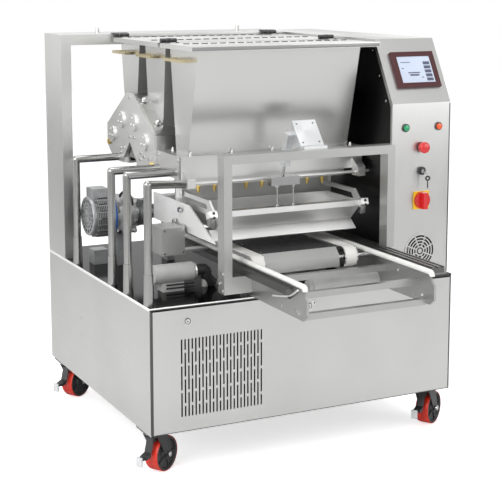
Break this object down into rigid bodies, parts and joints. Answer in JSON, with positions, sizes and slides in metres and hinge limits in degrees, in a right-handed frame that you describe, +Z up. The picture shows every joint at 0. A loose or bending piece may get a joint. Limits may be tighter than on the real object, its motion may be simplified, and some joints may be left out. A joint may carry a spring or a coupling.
{
  "type": "chocolate depositor",
  "caption": "Wheeled chocolate depositor: steel cabinet, hoppers with lids, dosing heads with brass nozzles, lifting drip tray, belt conveyor and control console.",
  "frame": {"origin": "on the floor, under the middle of the space that the machine takes up", "axes": "+X to the right seen from the front, +Y towards the back, +Z up"},
  "size_m": [1.2604, 1.493, 1.485],
  "materials": {
    "aluminium": "anodised aluminium",
    "black": "satin black",
    "brass": "turned brass",
    "brushed": "brushed stainless steel",
    "cast_grey": "cast grey metal",
    "chrome": "chrome",
    "dark_steel": "black enamelled steel",
    "gold": "gold anodised",
    "green": "gloss green",
    "light_grey": "light grey paint",
    "maroon": "satin maroon bezel",
    "orange": "gloss orange",
    "painted_steel": "matt dark grey paint",
    "pale_grey": "grey plastic",
    "polished": "polished stainless steel",
    "red": "gloss red",
    "red_tread": "red polyurethane tread",
    "screen": "display glass",
    "white_plastic": "white polyurethane",
    "white_rubber": "white belting",
    "yellow": "yellow plastic"
  },
  "bodies": {
    "machine": {"arch_frame": "brushed", "base_frame": "painted_steel", "belt_motor": "light_grey", "belts": "white_rubber", "cabinet_shell": "brushed", "conduits": "polished", "console_shell": "brushed", "conveyor_bed": "black", "conveyor_frame": "brushed", "deck_plate": "polished", "fan_grille": "black", "front_panel": "brushed", "gantry": "brushed", "gear_housing": "brushed", "gear_side_plate": "brushed", "gearmotor": "cast_grey", "guide_cords": "white_plastic", "guide_rails": "aluminium", "guide_rod": "chrome", "head_block": "brushed", "hmi_housing": "maroon", "hmi_screen": "screen", "hopper_front": "brushed", "hopper_handles": "gold", "hopper_middle": "brushed", "hopper_rear": "brushed", "lid_hinges": "black", "lift_cylinder": "aluminium", "main_switch_plate": "yellow", "nozzles": "brass", "station_frame": "brushed", "switch_bezels": "black"},
    "lock_left": {"lock_left": "chrome"},
    "lock_middle": {"lock_middle": "chrome"},
    "lock_right": {"lock_right": "chrome"},
    "fork_front_left": {"fork_front_left": "dark_steel"},
    "wheel_front_left": {"wheel_front_left": "red_tread"},
    "pedal_front_left": {"pedal_front_left": "pale_grey"},
    "fork_front_right": {"fork_front_right": "dark_steel"},
    "wheel_front_right": {"wheel_front_right": "red_tread"},
    "pedal_front_right": {"pedal_front_right": "pale_grey"},
    "fork_rear_left": {"fork_rear_left": "dark_steel"},
    "wheel_rear_left": {"wheel_rear_left": "red_tread"},
    "pedal_rear_left": {"pedal_rear_left": "pale_grey"},
    "fork_rear_right": {"fork_rear_right": "dark_steel"},
    "wheel_rear_right": {"wheel_rear_right": "red_tread"},
    "pedal_rear_right": {"pedal_rear_right": "pale_grey"},
    "start_button": {"start_button": "green"},
    "stop_button": {"stop_button": "orange"},
    "emergency_stop": {"emergency_stop": "red"},
    "key": {"key": "chrome"},
    "main_switch_knob": {"main_switch_knob": "red"},
    "fan_rotor": {"fan_rotor": "black"},
    "lid_front": {"lid_front": "brushed"},
    "lid_rear": {"lid_rear": "brushed"},
    "roller_drive": {"roller_drive": "chrome"},
    "roller_front": {"roller_front": "chrome"},
    "drive_shaft": {"drive_shaft": "chrome"},
    "lift_yoke": {"lift_yoke": "brushed"},
    "drip_tray": {"drip_tray": "brushed"}
  },
  "joints": [
    {"name": "lock_left_turn", "type": "hinge", "parent": "machine", "child": "lock_left", "pos_m": [-0.47477, -0.3245, 0.541], "axis": [0, 1, 0], "range_deg": [0, 90]},
    {"name": "lock_middle_turn", "type": "hinge", "parent": "machine", "child": "lock_middle", "pos_m": [-0.01177, -0.3245, 0.541], "axis": [0, 1, 0], "range_deg": [0, 90]},
    {"name": "lock_right_turn", "type": "hinge", "parent": "machine", "child": "lock_right", "pos_m": [0.45123, -0.3245, 0.541], "axis": [0, 1, 0], "range_deg": [0, 90]},
    {"name": "swivel_front_left", "type": "hinge", "parent": "machine", "child": "fork_front_left", "pos_m": [-0.56177, -0.2405, 0.141], "axis": [0, 0, 1], "continuous": true},
    {"name": "roll_front_left", "type": "hinge", "parent": "fork_front_left", "child": "wheel_front_left", "pos_m": [-0.53293, -0.22248, 0.062], "axis": [-0.5299, 0.848, 0], "continuous": true},
    {"name": "brake_front_left", "type": "hinge", "parent": "fork_front_left", "child": "pedal_front_left", "pos_m": [-0.58042, -0.25216, 0.127], "axis": [-0.5299, 0.848, 0], "range_deg": [-12, 0]},
    {"name": "swivel_front_right", "type": "hinge", "parent": "machine", "child": "fork_front_right", "pos_m": [0.53823, -0.2405, 0.141], "axis": [0, 0, 1], "continuous": true},
    {"name": "roll_front_right", "type": "hinge", "parent": "fork_front_right", "child": "wheel_front_right", "pos_m": [0.56707, -0.22248, 0.062], "axis": [-0.5299, 0.848, 0], "continuous": true},
    {"name": "brake_front_right", "type": "hinge", "parent": "fork_front_right", "child": "pedal_front_right", "pos_m": [0.51958, -0.25216, 0.127], "axis": [-0.5299, 0.848, 0], "range_deg": [-12, 0]},
    {"name": "swivel_rear_left", "type": "hinge", "parent": "machine", "child": "fork_rear_left", "pos_m": [-0.56177, 0.6625, 0.141], "axis": [0, 0, 1], "continuous": true},
    {"name": "roll_rear_left", "type": "hinge", "parent": "fork_rear_left", "child": "wheel_rear_left", "pos_m": [-0.53293, 0.68052, 0.062], "axis": [-0.5299, 0.848, 0], "continuous": true},
    {"name": "brake_rear_left", "type": "hinge", "parent": "fork_rear_left", "child": "pedal_rear_left", "pos_m": [-0.58042, 0.65084, 0.127], "axis": [-0.5299, 0.848, 0], "range_deg": [-12, 0]},
    {"name": "swivel_rear_right", "type": "hinge", "parent": "machine", "child": "fork_rear_right", "pos_m": [0.53823, 0.6625, 0.141], "axis": [0, 0, 1], "continuous": true},
    {"name": "roll_rear_right", "type": "hinge", "parent": "fork_rear_right", "child": "wheel_rear_right", "pos_m": [0.56707, 0.68052, 0.062], "axis": [-0.5299, 0.848, 0], "continuous": true},
    {"name": "brake_rear_right", "type": "hinge", "parent": "fork_rear_right", "child": "pedal_rear_right", "pos_m": [0.51958, 0.65084, 0.127], "axis": [-0.5299, 0.848, 0], "range_deg": [-12, 0]},
    {"name": "start_button_press", "type": "slide", "parent": "machine", "child": "start_button", "axis": [0, 1, 0], "range_m": [0, 0.004], "stiffness_N_per_m": 600, "springref_m": -0.001},
    {"name": "stop_button_press", "type": "slide", "parent": "machine", "child": "stop_button", "axis": [0, 1, 0], "range_m": [0, 0.004], "stiffness_N_per_m": 600, "springref_m": -0.001},
    {"name": "emergency_stop_press", "type": "slide", "parent": "machine", "child": "emergency_stop", "axis": [0, 1, 0], "range_m": [0, 0.005]},
    {"name": "key_turn", "type": "hinge", "parent": "machine", "child": "key", "pos_m": [0.45923, -0.3045, 0.989], "axis": [0, 1, 0], "range_deg": [0, 90]},
    {"name": "main_switch_turn", "type": "hinge", "parent": "machine", "child": "main_switch_knob", "pos_m": [0.45923, -0.3045, 0.882], "axis": [0, 1, 0], "range_deg": [0, 90]},
    {"name": "fan_spin", "type": "hinge", "parent": "machine", "child": "fan_rotor", "pos_m": [0.45923, -0.2815, 0.693], "axis": [0, 1, 0], "continuous": true},
    {"name": "lid_front_open", "type": "hinge", "parent": "machine", "child": "lid_front", "pos_m": [-0.11177, 0.0675, 1.46], "axis": [1, 0, 0], "range_deg": [-95, 0]},
    {"name": "lid_rear_open", "type": "hinge", "parent": "machine", "child": "lid_rear", "pos_m": [-0.11177, 0.5365, 1.46], "axis": [1, 0, 0], "range_deg": [-95, 0]},
    {"name": "roller_drive_spin", "type": "hinge", "parent": "machine", "child": "roller_drive", "pos_m": [-0.01177, 0.2755, 0.705], "axis": [1, 0, 0], "continuous": true},
    {"name": "roller_front_spin", "type": "hinge", "parent": "machine", "child": "roller_front", "pos_m": [-0.01177, -0.3085, 0.705], "axis": [1, 0, 0], "continuous": true},
    {"name": "drive_shaft_spin", "type": "hinge", "parent": "machine", "child": "drive_shaft", "pos_m": [-0.31177, 0.3755, 0.794], "axis": [1, 0, 0], "continuous": true},
    {"name": "lift_stroke", "type": "slide", "parent": "machine", "child": "lift_yoke", "axis": [0, -0.3173, 0.9483], "range_m": [0, 0.015]},
    {"name": "tray_tilt", "type": "hinge", "parent": "machine", "child": "drip_tray", "pos_m": [-0.01177, 0.0515, 0.912], "axis": [1, 0, 0], "range_deg": [-3.3, 0]}
  ],
  "couplings": [
    {"joint": "roller_front_spin", "follows": "roller_drive_spin", "ratio": 1},
    {"joint": "tray_tilt", "follows": "lift_stroke", "rad_per_m": -3.7782}
  ]
}
